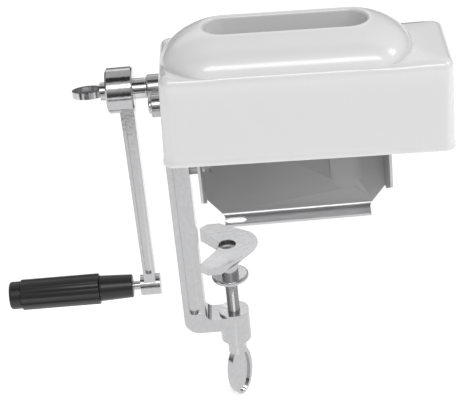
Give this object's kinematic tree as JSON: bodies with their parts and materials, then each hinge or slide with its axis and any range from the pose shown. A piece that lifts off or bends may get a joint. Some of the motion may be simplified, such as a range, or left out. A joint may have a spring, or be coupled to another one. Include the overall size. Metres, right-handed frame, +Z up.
{
  "type": "hand-crank meat tenderiser",
  "caption": "Clamp-on kitchen meat tenderiser with a hopper hood, two toothed rollers, a long hand crank with a fluted grip, and a table clamp.",
  "frame": {"origin": "middle of the seat underside that stands on the table", "axes": "+X along the rollers, away from the crank; +Y from the open front to the closed rear; +Z up"},
  "size_m": [0.3591, 0.0835, 0.3338],
  "materials": {
    "white_plastic": "smooth",
    "black_plastic": "satin",
    "sheet_steel": "brushed",
    "cast_zinc": "bright plated casting",
    "blade_steel": "ground",
    "white_nylon": "moulded",
    "turned_steel": "turned and plated"
  },
  "bodies": {
    "stand": {"clamp_bolts": "turned_steel", "clamp_frame": "cast_zinc", "clamp_nuts": "turned_steel", "clamp_washers": "turned_steel", "comb_screws": "turned_steel", "drive_left_bush": "turned_steel", "drive_right_bush": "turned_steel", "driven_left_bush": "turned_steel", "driven_right_bush": "turned_steel", "front_comb": "blade_steel", "housing": "sheet_steel", "rear_comb": "blade_steel", "tie_nuts": "turned_steel", "tie_rod": "turned_steel"},
    "hood": {"hood": "white_plastic"},
    "drive_roller": {"drive_shaft": "turned_steel", "drive_blades": "blade_steel", "drive_sleeves": "white_nylon", "drive_gear": "white_nylon", "drive_washer": "turned_steel", "drive_nut": "turned_steel", "crank_arm": "cast_zinc", "handle_spindle": "turned_steel"},
    "driven_roller": {"driven_shaft": "turned_steel", "driven_blades": "blade_steel", "driven_sleeves": "white_nylon", "driven_gear": "white_nylon", "driven_washer": "turned_steel", "driven_nut": "turned_steel"},
    "handle": {"grip": "black_plastic", "grip_cap": "black_plastic"},
    "crank_screw": {"crank_wing_screw": "cast_zinc"},
    "shoe": {"clamp_shoe": "cast_zinc", "swivel_disc": "cast_zinc"},
    "screw": {"clamp_screw": "turned_steel", "screw_collar": "turned_steel", "clamp_wing": "cast_zinc", "wing_pin": "turned_steel"}
  },
  "joints": [
    {"name": "hood_lift", "type": "slide", "parent": "stand", "child": "hood", "axis": [0, 0, 1], "range_m": [0, 0.08]},
    {"name": "drive_spin", "type": "hinge", "parent": "stand", "child": "drive_roller", "pos_m": [0, 0.008, 0.1192], "axis": [1, 0, 0], "continuous": true},
    {"name": "driven_spin", "type": "hinge", "parent": "stand", "child": "driven_roller", "pos_m": [0, -0.024, 0.1192], "axis": [1, 0, 0], "continuous": true},
    {"name": "grip_spin", "type": "hinge", "parent": "drive_roller", "child": "handle", "pos_m": [-0.18, 0.008, -0.0568], "axis": [1, 0, 0], "continuous": true},
    {"name": "crank_screw_turn", "type": "hinge", "parent": "drive_roller", "child": "crank_screw", "pos_m": [-0.145, 0.008, 0.1192], "axis": [1, 0, 0], "range_deg": [-1440, 0]},
    {"name": "shoe_slide", "type": "slide", "parent": "stand", "child": "shoe", "axis": [0, 0, 1], "range_m": [-0.0248, 0.0012]},
    {"name": "clamp_turn", "type": "hinge", "parent": "shoe", "child": "screw", "pos_m": [-0.0582, 0, -0.1], "axis": [0, 0, 1], "range_deg": [-5952, 288]}
  ],
  "couplings": [
    {"joint": "driven_spin", "follows": "drive_spin", "ratio": -1},
    {"joint": "clamp_turn", "follows": "shoe_slide", "rad_per_m": 4188.8}
  ]
}
